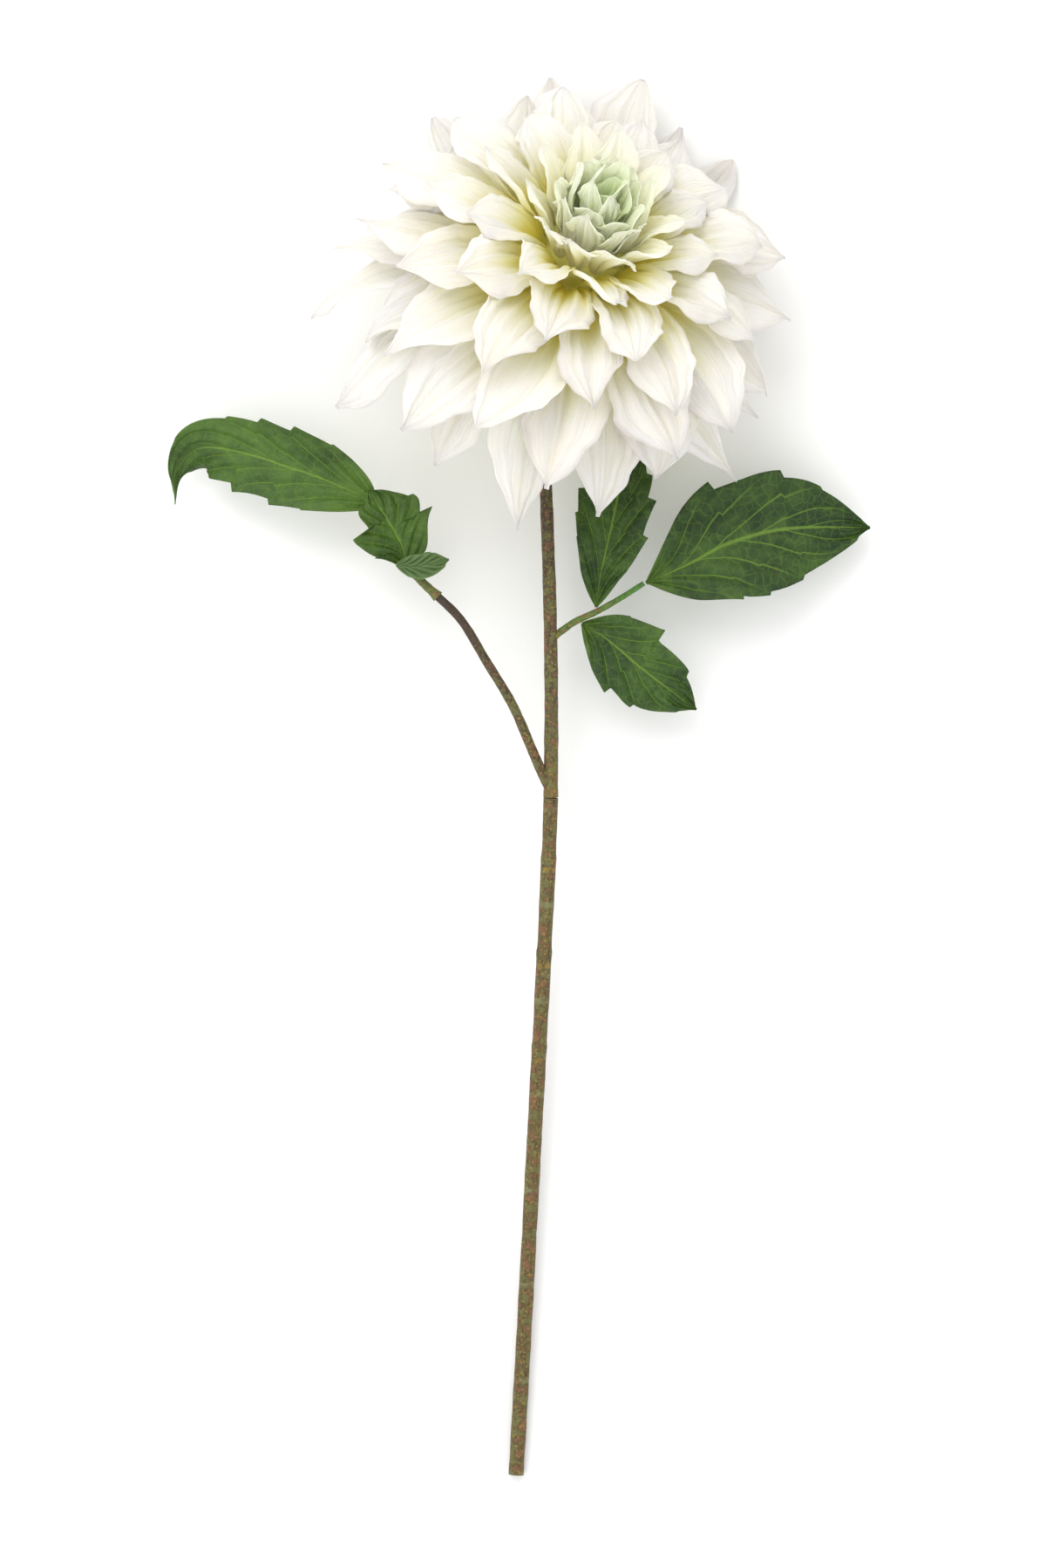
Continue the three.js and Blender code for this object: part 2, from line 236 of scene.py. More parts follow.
class Paint:
    """A material under construction."""

    def __init__(self, name: str) -> None:
        """Starts an empty node material.

        Args:
            name: The material's name.
        """
        self.material = bpy.data.materials.new(name)
        self.material.use_nodes = True
        self.tree = self.material.node_tree
        self.tree.nodes.clear()

    def node(self, kind: str, settings: dict, inputs: dict, output: int | str = 0) -> Socket:
        """Adds one node.

        Args:
            kind: The node's type.
            settings: Its own properties, set first.
            inputs: Socket name or number to a value or a Socket.
            output: Which output to give back.

        Returns:
            The output, ready for expressions.
        """
        made = self.tree.nodes.new(kind)
        for key, value in settings.items():
            setattr(made, key, value)
        for key, value in inputs.items():
            if isinstance(value, Socket):
                self.tree.links.new(value.socket, made.inputs[key])
            else:
                made.inputs[key].default_value = value
        return Socket(self, made.outputs[output])

    def attribute(self, name: str) -> Socket:
        """A number stored on the mesh."""
        return self.node("ShaderNodeAttribute", {"attribute_name": name}, {}, "Fac")

    def place(self) -> Socket:
        """The point on the piece, in metres."""
        return self.node("ShaderNodeTexCoord", {}, {}, "Object")

    def across_and_along(self) -> tuple[Socket, Socket]:
        """The piece's own two coordinates, both from zero to one."""
        chart = self.node("ShaderNodeUVMap", {"uv_map": "UVMap"}, {})
        return self.part(chart, 0), self.part(chart, 1)

    def part(self, vector: Socket, axis: int) -> Socket:
        """One coordinate of a vector."""
        return self.node("ShaderNodeSeparateXYZ", {}, {0: vector}, axis)

    def vector(self, x: object, y: object, z: object = 0.0) -> Socket:
        """A vector from three numbers or sockets."""
        return self.node("ShaderNodeCombineXYZ", {}, {0: x, 1: y, 2: z})

    def noise(self, at: Socket, scale: float, detail: float = 3.0, rough: float = 0.5) -> Socket:
        """Cloudy noise round one half."""
        values = {"Vector": at, "Scale": scale, "Detail": detail, "Roughness": rough}
        return self.node("ShaderNodeTexNoise", {}, values, 0)

    def mix(self, factor: object, first: object, second: object) -> Socket:
        """A colour between two colours.

        Args:
            factor: How much of the second colour there is, from 0 to 1.
            first: The first colour.
            second: The second colour.

        Returns:
            The mixed colour.
        """
        mixed = self.tree.nodes.new("ShaderNodeMix")
        mixed.data_type = "RGBA"
        for slot, value in ((0, factor), (6, first), (7, second)):
            if isinstance(value, Socket):
                self.tree.links.new(value.socket, mixed.inputs[slot])
            elif slot:
                mixed.inputs[slot].default_value = (*value, 1.0)
            else:
                mixed.inputs[slot].default_value = value
        return Socket(self, mixed.outputs[2])

    def relief(self, height: Socket, depth: float, strength: float = 1.0) -> Socket:
        """A Bump node's normal for a height from zero to one, depth metres deep."""
        values = {"Strength": strength, "Distance": depth, "Height": height}
        return self.node("ShaderNodeBump", {}, values)

    def finish(self, inputs: dict) -> bpy.types.Material:
        """Ends the material in a Principled shader.

        Args:
            inputs: The shader's socket names to values or Sockets.

        Returns:
            The finished material.
        """
        shader = self.node("ShaderNodeBsdfPrincipled", {}, inputs)
        end = self.tree.nodes.new("ShaderNodeOutputMaterial")
        self.tree.links.new(shader.socket, end.inputs["Surface"])
        return self.material


# ------------------------------------------------------------------ finishes

Colour = tuple[float, float, float]


@dataclass(frozen=True)
class PetalFinish:
    """Thin cream fabric, dyed yellow at the throat and greener towards the bloom's centre, with painted
    shade at its edges and along its creases.
    """

    cream: Colour = (0.97, 0.95, 0.86)
    warm: Colour = (0.96, 0.9, 0.7)
    lime: Colour = (0.95, 0.92, 0.32)
    throat: Colour = (0.92, 0.77, 0.04)
    lemon: Colour = (0.99, 0.985, 0.74)
    mint: Colour = (0.86, 1.0, 0.52)
    # Painted shade, for the petals' edges and creases.
    shade: Colour = (0.86, 0.79, 0.74)
    # Painted shade at the rims of the outer petals.
    edge: Colour = (0.78, 0.69, 0.64)
    streaks: float = 34.0
    glow: float = 0.55
    glow_colour: Colour = (0.95, 0.9, 0.55)
    glow_reach: float = 0.009
    relief: float = 0.0009

    def make(self) -> bpy.types.Material:
        """Builds the material.

        Returns:
            The finished material.
        """
        paint = Paint("petal_fabric")
        across, along = paint.across_and_along()
        inner = paint.attribute("inner")
        tint = paint.attribute("tint")
        off_centre = abs(across - 0.5) * 2.0
        lines = paint.noise(paint.vector(across * self.streaks, along * 3.0, tint * 9.0), 1.0, 4.0)
        clouds = paint.noise(paint.place(), 55.0, 2.0)
        colour = paint.mix(clouds.ramp(0.35, 0.7) * 0.5, self.cream, self.warm)
        # Painted shade: the petal darkens towards its edges, in clouds.
        colour = paint.mix(off_centre.ramp(0.62, 1.0) * clouds.fall(0.4, 0.62) * 0.42, colour, self.shade)
        # Painted shade along the creases: the streaks darken where the relief sinks.
        colour = paint.mix(lines.fall(0.34, 0.54) * inner.fall(0.3, 0.8) * 0.5, colour, self.shade)
        # Painted shade: the outer petals' margins and tips darken towards the edge colour.
        painted_rim_shade = 1.0 - off_centre.fall(0.84, 1.0) * along.fall(0.82, 1.02)
        colour = paint.mix(painted_rim_shade * inner.fall(0.2, 0.6) * 0.5, colour, self.edge)
        reach = along - inner * 0.3 + lines * 0.16 + off_centre * 0.08
        colour = paint.mix(reach.fall(0.28, 0.74) * inner.fall(0.6, 1.0) * 0.8, colour, self.lime)
        colour = paint.mix(reach.fall(0.16, 0.54) * inner.fall(0.45, 0.85), colour, self.throat)
        colour = paint.mix(inner.ramp(0.55, 0.85) * 0.75, colour, self.lemon)
        upper = 1.0 - paint.attribute("under") * 0.7
        colour = paint.mix(inner.ramp(0.7, 0.95) * upper * 0.8, colour, self.mint)
        weave = paint.noise(paint.place(), 1600.0, 1.0)
        height = lines * 0.8 + weave * 0.2
        return paint.finish(
            {
                "Base Color": colour,
                "Roughness": lines * 0.1 + 0.58,
                "Normal": paint.relief(height, self.relief, 0.8),
                "Subsurface Weight": self.glow,
                "Subsurface Radius": self.glow_colour,
                "Subsurface Scale": self.glow_reach,
                "Sheen Weight": 0.15,
                "Specular IOR Level": 0.25,
            }
        )


@dataclass(frozen=True)
class LeafFinish:
    """Deep green printed fabric with lime veins, paler below, and lighter on leaflets given painted light.
    """

    deep: Colour = (0.009, 0.03, 0.005)
    fresh: Colour = (0.075, 0.15, 0.022)
    vein: Colour = (0.16, 0.28, 0.035)
    below: Colour = (0.13, 0.21, 0.075)
    speck: Colour = (0.1, 0.07, 0.03)
    relief: float = 0.0008

    def make(self) -> bpy.types.Material:
        """Builds the material.

        Returns:
            The finished material.
        """
        paint = Paint("leaf_fabric")
        across, along = paint.across_and_along()
        off_centre = abs(across - 0.5) * 2.0
        right = across.over(0.5)
        phase = ((along - (off_centre**VEIN_CURVE) * VEIN_SLANT) * SIDE_VEINS + right * 0.5).fraction()
        wobble = paint.noise(paint.place(), 90.0, 2.0)
        side = abs(phase - 0.5 + (wobble - 0.5) * 0.12).fall(0.012, 0.07) * off_centre.fall(0.55, 1.0)
        midrib = off_centre.fall(0.01, 0.05)
        cells = paint.node(
            "ShaderNodeTexVoronoi",
            {"feature": "DISTANCE_TO_EDGE"},
            {"Vector": paint.place(), "Scale": 210.0},
        )
        net = cells.fall(0.0, 0.09)
        veins = 1.0 - (1.0 - midrib * 0.62) * (1.0 - side * 0.5)
        clouds = paint.noise(paint.place(), 38.0, 3.0)
        fine = paint.noise(paint.place(), 170.0, 4.0, 0.65)
        # Painted light: the leaflet's sunlit share, stored as its tint, lightens its green.
        light = clouds * 0.9 + fine * 0.6 + paint.attribute("tint") * 0.6 - 0.06
        colour = paint.mix(light.ramp(0.6, 1.3), self.deep, self.fresh)
        colour = paint.mix(along.fall(0.0, 0.16) * 0.3, colour, self.vein)
        colour = paint.mix(net * 0.16, colour, self.vein)
        specks = paint.noise(paint.place(), 420.0, 2.0).ramp(0.66, 0.74)
        colour = paint.mix(specks * 0.3, colour, self.speck)
        colour = paint.mix(veins, colour, self.vein)
        colour = paint.mix(paint.attribute("under") * 0.75, colour, self.below)
        weave = paint.noise(paint.place(), 1500.0, 1.0)
        return paint.finish(
            {
                "Base Color": colour,
                "Roughness": clouds * 0.16 + 0.46,
                "Normal": paint.relief(1.0 - veins * 0.6 - net * 0.2 + weave * 0.12, self.relief, 0.8),
                "Specular IOR Level": 0.3,
            }
        )


@dataclass(frozen=True)
class StemFinish:
    """Moulded stem: a ground colour that changes from its start to its end, with scars."""

    name: str
    start: Colour
    end: Colour
    ring: Colour = (0.24, 0.24, 0.12)
    mark: Colour = (0.3, 0.2, 0.03)
    moss: Colour = (0.125, 0.125, 0.04)
    rust: Colour = (0.18, 0.085, 0.04)
    shadow: float = 0.38
    period: float = SCAR_SPACING * MM
    first_ring: float = -0.0523
    mark_offset: float = 0.0151
    ringed: float = 1.0
    bright_ends: float = 0.0
    relief: float = 0.0012

    def make(self) -> bpy.types.Material:
        """Builds the material.

        Returns:
            The finished material.
        """
        paint = Paint(self.name)
        place = paint.place()
        along = paint.attribute("along")
        y = paint.part(place, 1) - float(SHIFT[1] * MM)
        stretched = paint.vector(paint.part(place, 0) * 9.0, y, paint.part(place, 2) * 9.0)
        grain = paint.noise(stretched, 130.0, 4.0)
        clouds = paint.noise(place, 70.0, 3.0)
        colour = paint.mix((along + (clouds - 0.5) * 0.25).ramp(0.05, 0.8), self.start, self.end)
        dark = tuple(self.shadow * value for value in self.start)
        patches = paint.noise(place, 240.0, 5.0, 0.7)
        specks = paint.noise(place, 900.0, 2.0)
        colour = paint.mix(grain.ramp(0.48, 0.66) * 0.75, colour, dark)
        fresh = along.fall(0.3, 1.0) * (1.0 - self.ringed) + self.ringed
        colour = paint.mix(patches.ramp(0.51, 0.56) * fresh * 0.85, colour, self.moss)
        colour = paint.mix(patches.fall(0.41, 0.47) * fresh * 0.9, colour, self.rust)
        colour = paint.mix(specks.ramp(0.57, 0.65) * fresh * 0.65, colour, self.mark)
        cycle = ((y - self.first_ring) * (1.0 / self.period) + 0.5).fraction()
        scar = abs(cycle - 0.5).fall(0.01, 0.045)
        shifted = ((y - self.first_ring - self.mark_offset) * (1.0 / self.period) + 0.5).fraction()
        right = paint.part(place, 0) * 240.0 - float(SHIFT[0] * MM) * 240.0
        flecks = abs(shifted - 0.5).fall(0.012, 0.04) * paint.noise(place, 300.0, 1.0).ramp(0.42, 0.56)
        colour = paint.mix(scar * patches.ramp(0.38, 0.58) * self.ringed * 0.4, colour, self.ring)
        colour = paint.mix(flecks * right.ramp(0.2, 2.4) * self.ringed * 0.6, colour, self.mark)
        colour = paint.mix(along.fall(0.0, 0.12) * self.bright_ends, colour, self.mark)
        return paint.finish(
            {
                "Base Color": colour,
                "Roughness": grain * 0.2 + 0.5,
                "Normal": paint.relief(grain * 0.6 + patches * 0.4, self.relief, 0.9),
                "Specular IOR Level": 0.35,
            }
        )


@dataclass(frozen=True)
class CalyxFinish:
    """Matt moulded plastic, clouded between two shades: green unless it says otherwise."""

    name: str = "calyx_plastic"
    deep: Colour = (0.06, 0.16, 0.03)
    fresh: Colour = (0.15, 0.29, 0.07)

    def make(self) -> bpy.types.Material:
        """Builds the material.

        Returns:
            The finished material.
        """
        paint = Paint(self.name)
        clouds = paint.noise(paint.place(), 90.0, 4.0)
        return paint.finish(
            {
                "Base Color": paint.mix(clouds.ramp(0.35, 0.65), self.deep, self.fresh),
                "Roughness": clouds * 0.2 + 0.45,
                "Normal": paint.relief(clouds, 0.0005, 0.5),
            }
        )


@dataclass(frozen=True)
class FloorFinish:
    """Plain pale paper."""

    colour: Colour = (0.9, 0.9, 0.895)

    def make(self) -> bpy.types.Material:
        """Builds the material.

        Returns:
            The finished material.
        """
        paint = Paint("floor_paper")
        grain = paint.noise(paint.place(), 300.0, 2.0)
        return paint.finish(
            {
                "Base Color": (*self.colour, 1.0),
                "Roughness": grain * 0.05 + 0.85,
                "Specular IOR Level": 0.1,
            }
        )


# ------------------------------------------------------------------ making meshes


def deselect() -> None:
    """Leaves nothing selected, so that an operator acts on the new piece alone."""
    if bpy.context.object and bpy.context.object.mode != "OBJECT":
        bpy.ops.object.mode_set(mode="OBJECT")
    bpy.ops.object.select_all(action="DESELECT")


def read_points(piece: bpy.types.Object) -> np.ndarray:
    """Reads a piece's vertices.

    Args:
        piece: The piece.

    Returns:
        Its vertices, one row each, in metres unless it is a primitive still to be shaped.
    """
    points = np.empty(len(piece.data.vertices) * 3)
    piece.data.vertices.foreach_get("co", points)
    return points.reshape(-1, 3)


def write_points(piece: bpy.types.Object, points: np.ndarray) -> None:
    """Moves a piece's vertices to drawing-space points, in the frame and none below the table.

    Args:
        piece: The piece.
        points: The points, one row for each vertex, in millimetres.
    """
    placed = (points + SHIFT) * MM
    placed[:, 2] = np.maximum(placed[:, 2], TABLE_CLEARANCE)
    piece.data.vertices.foreach_set("co", placed.ravel())
    piece.data.update()


def store(piece: bpy.types.Object, name: str, values: np.ndarray | float) -> None:
    """Stores a number on each vertex, for the material.

    Args:
        piece: The piece.
        name: What the material calls the number.
        values: One number for all vertices, or one for each.
    """
    count = len(piece.data.vertices)
    layer = piece.data.attributes.get(name) or piece.data.attributes.new(name, "FLOAT", "POINT")
    layer.data.foreach_set("value", np.full(count, values) if np.isscalar(values) else values)


def blade(name: str, columns: int, rows: int, surface: Surface, thick: float) -> bpy.types.Object:
    """A thin curved sheet with a real thickness.

    Args:
        name: The piece's name.
        columns: How many faces across.
        rows: How many faces along.
        surface: Gives drawing-space points for across (-1 to 1) and along (0 to 1).
        thick: The thickness in millimetres.

    Returns:
        The sheet, its upper side's vertices first.
    """
    deselect()
    bpy.ops.mesh.primitive_grid_add(x_subdivisions=columns, y_subdivisions=rows, size=2)
    piece = bpy.context.object
    piece.name = name
    flat = read_points(piece)
    write_points(piece, surface(-flat[:, 0], (flat[:, 1] + 1) / 2))
    upper = len(flat)
    wall = piece.modifiers.new("thickness", "SOLIDIFY")
    wall.thickness = thick * MM
    wall.offset = -1
    bpy.ops.object.modifier_apply(modifier=wall.name)
    solid = read_points(piece)
    solid[:, 2] = np.maximum(solid[:, 2], 0.0)
    piece.data.vertices.foreach_set("co", solid.ravel())
    store(piece, "under", (np.arange(len(piece.data.vertices)) >= upper).astype(float))
    bpy.ops.object.shade_smooth()
    return piece


def rod(
    name: str,
    route: Sequence[Sequence[float]],
    radius: Callable[[np.ndarray], np.ndarray],
    sides: int,
    steps: int,
) -> bpy.types.Object:
    """A closed round rod along a route.

    Args:
        name: The piece's name.
        route: The points that its centre line passes through, in millimetres.
        radius: Gives the radius for each share of the length.
        sides: How many faces round.
        steps: How many faces along.

    Returns:
        The rod, with its share of the length stored as "along".
    """
    deselect()
    bpy.ops.mesh.primitive_cylinder_add(vertices=sides, radius=1, depth=2)
    piece = bpy.context.object
    piece.name = name
    bpy.ops.object.mode_set(mode="EDIT")
    bpy.context.tool_settings.mesh_select_mode = (False, True, False)
    bpy.ops.mesh.select_all(action="DESELECT")
    bpy.ops.object.mode_set(mode="OBJECT")
    for edge in piece.data.edges:
        ends = [piece.data.vertices[i].co.z for i in edge.vertices]
        edge.select = abs(ends[0] - ends[1]) > 1
    bpy.ops.object.mode_set(mode="EDIT")
    bpy.ops.mesh.subdivide(number_cuts=steps - 1)
    bpy.ops.object.mode_set(mode="OBJECT")
    bpy.context.tool_settings.mesh_select_mode = (True, False, False)
    local = read_points(piece)
    share = (local[:, 2] + 1) / 2
    ring = np.rint(share * steps).astype(int)
    path = smooth_route(route, steps + 1)
    ahead = tangents(path)
    right = np.empty_like(path)
    right[0] = unit(np.cross(ahead[0], SKEW))
    for i in range(1, len(path)):
        right[i] = unit(right[i - 1] - ahead[i] * np.dot(right[i - 1], ahead[i]))
    up = np.cross(right, ahead)
    size = radius(np.arange(steps + 1) / steps)[ring][:, None]
    points = path[ring] + right[ring] * local[:, :1] * size - up[ring] * local[:, 1:2] * size
    write_points(piece, points)
    store(piece, "along", share)
    bpy.ops.object.shade_smooth_by_angle(angle=SMOOTH_BELOW)
    return piece


def merged(name: str, parts: list[bpy.types.Object]) -> bpy.types.Object:
    """Joins several objects into one piece.

    Args:
        name: The piece's name.
        parts: The objects, the first of which takes up the others.

    Returns:
        The piece.
    """
    deselect()
    for part in parts:
        part.select_set(True)
    bpy.context.view_layer.objects.active = parts[0]
    if len(parts) > 1:
        bpy.ops.object.join()
    parts[0].name = name
    return parts[0]


def settle(piece: bpy.types.Object, nodes: Sequence[str], coat: bpy.types.Material) -> None:
    """Dresses a finished piece and tells the frame what it stands for.

    Args:
        piece: The piece.
        nodes: The CAD nodes that it replaces.
        coat: The material.
    """
    piece.data.materials.clear()
    piece.data.materials.append(coat)
    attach(piece, BODY)
    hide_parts(*nodes)
    LOG.info("%s: %d faces", piece.name, len(piece.data.polygons))


# ------------------------------------------------------------------ the bloom

HEAD_FRONT = unit(np.array((0.0, -1.0, 0.0)) + HEAD_AXIS * HEAD_AXIS[1])
HEAD_RIGHT = np.cross(HEAD_AXIS, HEAD_FRONT)


def outwards(azimuth: float) -> np.ndarray:
    """The direction out from the bloom's axis at an azimuth in radians."""
    return HEAD_FRONT * math.cos(azimuth) + HEAD_RIGHT * math.sin(azimuth)


def leaning(angle: float, out: np.ndarray) -> np.ndarray:
    """The direction at an angle from the bloom's axis, towards out."""
    return HEAD_AXIS * math.cos(angle) + out * math.sin(angle)


def lean_allowed(out: np.ndarray, height: float) -> float:
    """The most that a petal may lean near the table.

    Args:
        out: The direction in which it leans.
        height: How far it is above the height at which it lies down.

    Returns:
        The angle from the bloom's axis, in radians.
    """
    reach = math.hypot(HEAD_AXIS[2], out[2])
    fall = min(1.0, max(0.0, height) / PRESS_ZONE)
    return math.atan2(out[2], HEAD_AXIS[2]) + math.acos(-min(1.0, fall / reach))


class Shape(Enum):
    """How sharply a petal closes towards its tip."""

    POINTED = 1.15
    BLUNT = 0.75


@dataclass(frozen=True)
class Spine:
    """A centre line with the directions across and over it, one row for each step."""

    path: np.ndarray
    across: np.ndarray
    over: np.ndarray

    def sheet(
        self, u: np.ndarray, t: np.ndarray, half: np.ndarray, arc: np.ndarray | float, high: np.ndarray
    ) -> np.ndarray:
        """Points on a sheet that is bowed across its centre line.

        Args:
            u: The place across, from -1 to 1.
            t: The share of the length, from 0 to 1.
            half: Half the sheet's width.
            arc: How far it bows from its middle to its edge, in radians.
            high: The height above the bowed sheet.

        Returns:
            Drawing-space points, one row each.
        """
        row = np.rint(t * (len(self.path) - 1)).astype(int)
        across, over = self.across[row], self.over[row]
        angle = arc * u
        normal = over * np.cos(angle)[:, None] - across * np.sin(angle)[:, None]
        return (
            self.path[row]
            + across * (half * np.sin(angle) / arc)[:, None]
            + over * (half * (1 - np.cos(angle)) / arc)[:, None]
            + normal * high[:, None]
        )


@dataclass(frozen=True)
class Pleat:
    """One lengthwise wave in a petal's fabric."""

    waves: float
    phase: float
    depth: float
    drift: float = 1.6

    def height(self, u: np.ndarray, t: np.ndarray) -> np.ndarray:
        """How high the wave stands at a place across and along."""
        return self.depth * np.cos(self.waves * np.pi * u + self.phase + self.drift * t * np.sin(self.phase))


@dataclass(frozen=True)
class PetalForm:
    """What all petals share, and how far one differs from the next.

    Lengths are in millimetres and angles in degrees. Folds are as deep as on a petal of the nominal
    width. A spread is the most that a petal differs either way.
    """

    thick: float = 0.35
    stand: float = 0.8
    least_half: float = 0.8
    thin: float = 6.0
    nominal_width: float = 36.0
    foot: float = 0.34
    widest: float = 0.54
    closing: float = 1.25
    bend: float = 1.3
    tip_from: float = 0.6
    tip_back: float = 6.0
    flat_arc: float = 0.42
    flattening: float = 1.5
    back_close: float = 0.42
    turn_spread: float = 3.0
    length_spread: float = 0.1
    lift_spread: float = 3.5
    more_lift: float = 4.0
    twist_spread: float = 10.0
    more_twist: float = 22.0
    tip_spread: float = 42.0
    sway_spread: float = 24.0
    close_spread: float = 0.22
    uneven_spread: float = 0.2
    coarse_rag: float = 0.05
    fine_rag: float = 0.04
    pleats: int = 5
    first_pleat: float = 1.6
    pleat_step: float = 1.5
    pleat_spread: float = 0.6
    pleat_phase: float = 3.0
    pleat_depth: float = 1.15
    pleat_fade: float = 0.25
    crease: float = 2.2
    crease_width: float = 0.16
    curl: float = 4.2
    curl_waves: float = 9.5
    curl_back: float = 3.2

    def pleat(self, seed: int, k: int) -> Pleat:
        """A petal's wave number k.

        Args:
            seed: The petal's own number.
            k: Which wave, the broadest being 0.

        Returns:
            The wave.
        """
        return Pleat(
            waves=self.first_pleat + self.pleat_step * k + self.pleat_spread * scatter(seed + 20 + k),
            phase=self.pleat_phase * scatter(seed + 30 + k),
            depth=self.pleat_depth / (1 + self.pleat_fade * k),
        )


@dataclass(frozen=True)
class Ring:
    """One ring of petals, in millimetres and degrees.

    Attributes:
        count: How many petals.
        seat: The angle from the bloom's axis at which they stand on the receptacle.
        length: How long they are.
        width: How wide they are.
        start: Their lean from the axis at the seat.
        end: Their lean at the tip.
        rest: The height above the table at which they stop falling.
        inner: Which of the petal's colours they wear, from 0 outside to 1 at the heart.
        cup: How far round they cup at the seat, in radians.
        shape: How they close.
    """

    count: int
    seat: float
    length: float
    width: float
    start: float
    end: float
    rest: float
    inner: float = 0.0
    cup: float = 1.15
    shape: Shape = Shape.POINTED


@dataclass
class Bloom:
    """The flower head: rings of petals round a green centre."""

    coat: bpy.types.Material
    form: PetalForm = PetalForm()
    columns: int = 28
    rows: int = 40
    separate: tuple[Ring, ...] = (
        Ring(12, 118, 92, 29.5, 98, 158, 3.6, 0.05),
        Ring(10, 105, 86, 34, 87, 148, 10, 0.12),
        Ring(10, 92, 78, 33, 75, 134, 17, 0.22),
        Ring(10, 79, 69, 29.5, 61, 118, 22, 0.32),
    )
    joined: tuple[Ring, ...] = (
        Ring(10, 66, 57, 29, 48, 100, 28, 0.4),
        Ring(10, 54, 45, 24, 37, 82, 30, 0.52, 1.1),
        Ring(10, 44, 38, 19, 20, 54, 30, 0.72, 1.0),
        Ring(9, 34, 33, 16, 8, 26, 30, 0.82, 0.9),
    )
    heart: tuple[Ring, ...] = (
        Ring(7, 24, 34, 15, 9, 12, 30, 0.86, 0.8, Shape.BLUNT),
        Ring(5, 14, 35, 13, 4, 6, 30, 0.92, 0.8, Shape.BLUNT),
        Ring(3, 6, 35, 12, 0, 0, 30, 0.96, 0.8, Shape.BLUNT),
    )

    def outline(self, t: np.ndarray, shape: float) -> np.ndarray:
        """A petal's width along it, as a share of its widest.

        Args:
            t: Shares of the length.
            shape: How sharply it closes towards its tip.

        Returns:
            The share of the widest width for each t.
        """
        widest = self.form.widest
        rise = lerp(self.form.foot, 1.0, np.sin(np.pi / 2 * np.minimum(t, widest) / widest))
        close = np.clip((t - widest) / (1 - widest), 0, 1)
        return np.where(t < widest, rise, np.cos(np.pi / 2 * close**self.form.closing) ** shape)

    def spine(self, ring: Ring, seed: int, out: np.ndarray) -> Spine:
        """A petal's centre line, bent outwards and kept off the table.

        Args:
            ring: The ring it belongs to.
            seed: The petal's own number.
            out: The direction out from the bloom's axis.

        Returns:
            The centre line, with the petal's twist.
        """
        form = self.form
        side = np.cross(HEAD_AXIS, out)
        length = ring.length * (1 + form.length_spread * scatter(seed + 1))
        lift = form.lift_spread * scatter(seed + 2) + form.more_lift * scatter(seed + 11)
        twist = math.radians(form.twist_spread * scatter(seed + 3) + form.more_twist * scatter(seed + 13))
        tip = math.radians(form.tip_spread * scatter(seed + 4) - form.tip_back)
        sway = math.radians(form.sway_spread * scatter(seed + 5))
        seat = RECEPTACLE_RADIUS + GAP + form.stand
        point = HEAD_CENTRE + leaning(math.radians(ring.seat), out) * seat
        path, across, over = [], [], []
        for step in range(self.rows + 1):
            t = step / self.rows
            wanted = math.radians(lerp(ring.start, ring.end, t**form.bend) + lift * t)
            wanted += tip * max(0.0, (t - form.tip_from) / (1 - form.tip_from)) ** 2
            height = float(point[2]) - ring.rest
            ahead = leaning(min(wanted, lean_allowed(out, height)), out)
            ahead = unit(ahead + side * math.sin(sway * t))
            level = unit(side - ahead * np.dot(side, ahead))
            path.append(point)
            across.append(turned(level, ahead, twist * t))
            over.append(turned(np.cross(ahead, level), ahead, twist * t))
            point = point + ahead * length / self.rows
        return Spine(np.array(path), np.array(across), np.array(over))

    def petal(self, name: str, ring: Ring, number: int, index: int) -> bpy.types.Object:
        """One petal.

        Args:
            name: The piece's name.
            ring: The ring it belongs to.
            number: Which ring that is, the lowest being 0.
            index: Which petal of the ring it is.

        Returns:
            The petal, with its tint and its ring's greenness stored.
        """
        form = self.form
        seed = number * 31 + index * 7
        turn = FIRST_AZIMUTH + number * RING_TURN + form.turn_spread * scatter(seed)
        out = outwards(math.radians(turn + 360 * index / ring.count))
        behind = min(0.0, float(out @ HEAD_FRONT))
        close = ring.shape.value + form.close_spread * scatter(seed + 9) + form.back_close * behind
        spine = self.spine(ring, seed, out)
        pleats = [form.pleat(seed, k) for k in range(form.pleats)]
        slant = form.uneven_spread * scatter(seed + 7)

        def surface(u: np.ndarray, t: np.ndarray) -> np.ndarray:
            """The petal's upper face.

            Args:
                u: The place across, from -1 to 1.
                t: The share of the length, from 0 to 1.

            Returns:
                Drawing-space points.
            """
            coarse = form.coarse_rag * np.sin(31 * t + seed)
            ragged = coarse + form.fine_rag * np.sin(53 * t + 2 * np.sign(u))
            uneven = np.sign(u) * slant * np.sin(4 * t + seed) + ragged * np.clip(t * 2 - 0.6, 0, 1)
            half = np.maximum(form.least_half, ring.width / 2 * self.outline(t, close) * (1 + uneven))
            arc = form.flat_arc + (ring.cup - form.flat_arc) * (1 - np.minimum(1, t * form.flattening))
            size = ring.width / form.nominal_width
            folds = sum(pleat.height(u, t) for pleat in pleats) * size
            folds = folds * np.sin(np.pi * np.clip(t, 0, 1)) ** 0.6
            fade = np.sin(np.pi * np.clip(t * 0.9 + 0.1, 0, 1))
            crease = -form.crease * size * bump(u, 0, form.crease_width) * fade
            wave = np.sin(form.curl_waves * t + seed + 1.7 * np.sign(u))
            rim = form.curl * size * np.abs(u) ** 3 * wave - form.curl_back * size * u**4
            high = (folds + crease + rim * np.clip(t * 2 - 0.4, 0, 1)) * np.clip(half / form.thin, 0, 1)
            return spine.sheet(u, t, half, arc, high)

        piece = blade(name, self.columns, self.rows, surface, form.thick)
        store(piece, "inner", ring.inner)
        store(piece, "tint", 0.5 + 0.5 * scatter(seed + 6))
        return piece

